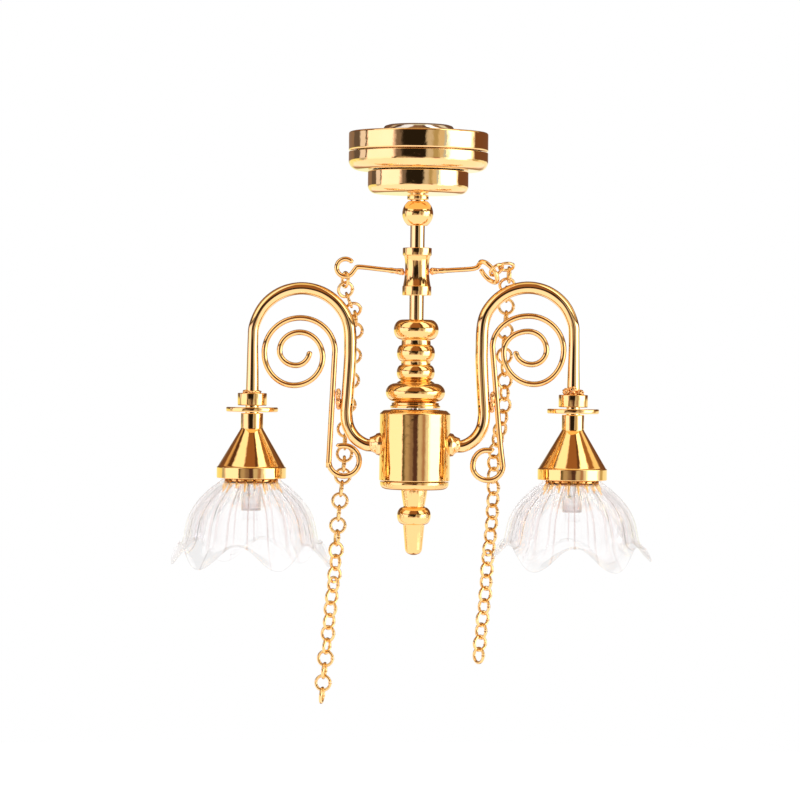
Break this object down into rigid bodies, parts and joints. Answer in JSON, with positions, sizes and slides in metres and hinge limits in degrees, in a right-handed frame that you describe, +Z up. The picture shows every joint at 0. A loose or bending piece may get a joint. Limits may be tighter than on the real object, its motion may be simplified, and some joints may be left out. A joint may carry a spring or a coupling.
{
  "type": "miniature chandelier",
  "caption": "Dolls' house chandelier with a magnetic battery canopy, turned stem, curved arms with scrolls, ruffled glass shades and hanging link chains.",
  "frame": {"origin": "centre of the magnet's top face, where the lamp meets the ceiling", "axes": "+Z up along the stem, +X towards the right arm, -Y the front"},
  "size_m": [0.0769, 0.0246, 0.093],
  "materials": {
    "gold_plate": "polished",
    "nickel_plate": "polished",
    "clear_glass": "clear",
    "led_lens": "clear",
    "white_sleeve": "matte",
    "circuit_board": "satin"
  },
  "bodies": {
    "ceiling_mount": {"ceiling_magnet": "nickel_plate", "canopy_cap": "gold_plate", "cap_contact": "nickel_plate"},
    "lamp": {"canopy_cup": "gold_plate", "canopy_tier": "gold_plate", "stem_tube": "gold_plate", "stem_collar": "gold_plate", "ball_bead": "gold_plate", "spool_collar": "gold_plate", "hook_left": "gold_plate", "hook_right": "gold_plate", "baluster": "gold_plate", "drum": "gold_plate", "drum_base": "gold_plate", "finial": "gold_plate", "arm_left": "gold_plate", "arm_right": "gold_plate", "arm_boss_left": "gold_plate", "arm_boss_right": "gold_plate", "scroll_left": "gold_plate", "scroll_right": "gold_plate", "solder_left": "gold_plate", "solder_right": "gold_plate", "socket_collar_left": "gold_plate", "socket_collar_right": "gold_plate", "socket_flange_left": "gold_plate", "socket_flange_right": "gold_plate", "shade_holder_left": "gold_plate", "shade_holder_right": "gold_plate", "cup_contact": "nickel_plate", "coin_cell": "nickel_plate", "tie_rod": "nickel_plate", "shade_left": "clear_glass", "shade_right": "clear_glass", "led_left": "led_lens", "led_right": "led_lens", "led_sleeve_left": "white_sleeve", "led_sleeve_right": "white_sleeve", "circuit_board": "circuit_board"},
    "chain_left_1": {"chain_left_1": "gold_plate"},
    "chain_left_2": {"chain_left_2": "gold_plate"},
    "chain_left_3": {"chain_left_3": "gold_plate"},
    "chain_left_4": {"chain_left_4": "gold_plate"},
    "chain_left_5": {"chain_left_5": "gold_plate"},
    "chain_right_1": {"chain_right_1": "gold_plate"},
    "chain_right_2": {"chain_right_2": "gold_plate"},
    "chain_right_3": {"chain_right_3": "gold_plate"},
    "chain_right_4": {"chain_right_4": "gold_plate"}
  },
  "joints": [
    {"name": "canopy_twist", "type": "hinge", "parent": "ceiling_mount", "child": "lamp", "pos_m": [0, 0, 0], "axis": [0, 0, 1], "range_deg": [-45, 45]},
    {"name": "chain_left_eye", "type": "hinge", "parent": "lamp", "child": "chain_left_1", "pos_m": [-0.01145, 0, -0.0243], "axis": [1, 0, 0], "range_deg": [0, 25]},
    {"name": "chain_left_side_swing", "type": "hinge", "parent": "chain_left_1", "child": "chain_left_2", "pos_m": [-0.01147, -0.00002, -0.02595], "axis": [0, 1, 0], "range_deg": [-8, 0]},
    {"name": "chain_left_shoulder", "type": "hinge", "parent": "chain_left_2", "child": "chain_left_3", "pos_m": [-0.00977, 0.00279, -0.03041], "axis": [1, 0, 0], "range_deg": [0, 20]},
    {"name": "chain_left_middle", "type": "hinge", "parent": "chain_left_3", "child": "chain_left_4", "pos_m": [-0.01134, 0.003, -0.0539], "axis": [1, 0, 0], "range_deg": [0, 25]},
    {"name": "chain_left_tail", "type": "hinge", "parent": "chain_left_4", "child": "chain_left_5", "pos_m": [-0.01277, 0.003, -0.07335], "axis": [1, 0, 0], "range_deg": [-20, 30]},
    {"name": "chain_right_eye", "type": "hinge", "parent": "lamp", "child": "chain_right_1", "pos_m": [0.01231, -0.001, -0.02322], "axis": [0, 1, 0], "range_deg": [0, 6]},
    {"name": "chain_right_shoulder", "type": "hinge", "parent": "chain_right_1", "child": "chain_right_2", "pos_m": [0.01439, 0.00296, -0.02626], "axis": [1, 0, 0], "range_deg": [0, 20]},
    {"name": "chain_right_middle", "type": "hinge", "parent": "chain_right_2", "child": "chain_right_3", "pos_m": [0.01348, 0.00403, -0.04963], "axis": [1, 0, 0], "range_deg": [0, 25]},
    {"name": "chain_right_tail", "type": "hinge", "parent": "chain_right_3", "child": "chain_right_4", "pos_m": [0.01209, 0.00625, -0.06891], "axis": [1, 0, 0], "range_deg": [-12, 30]}
  ]
}
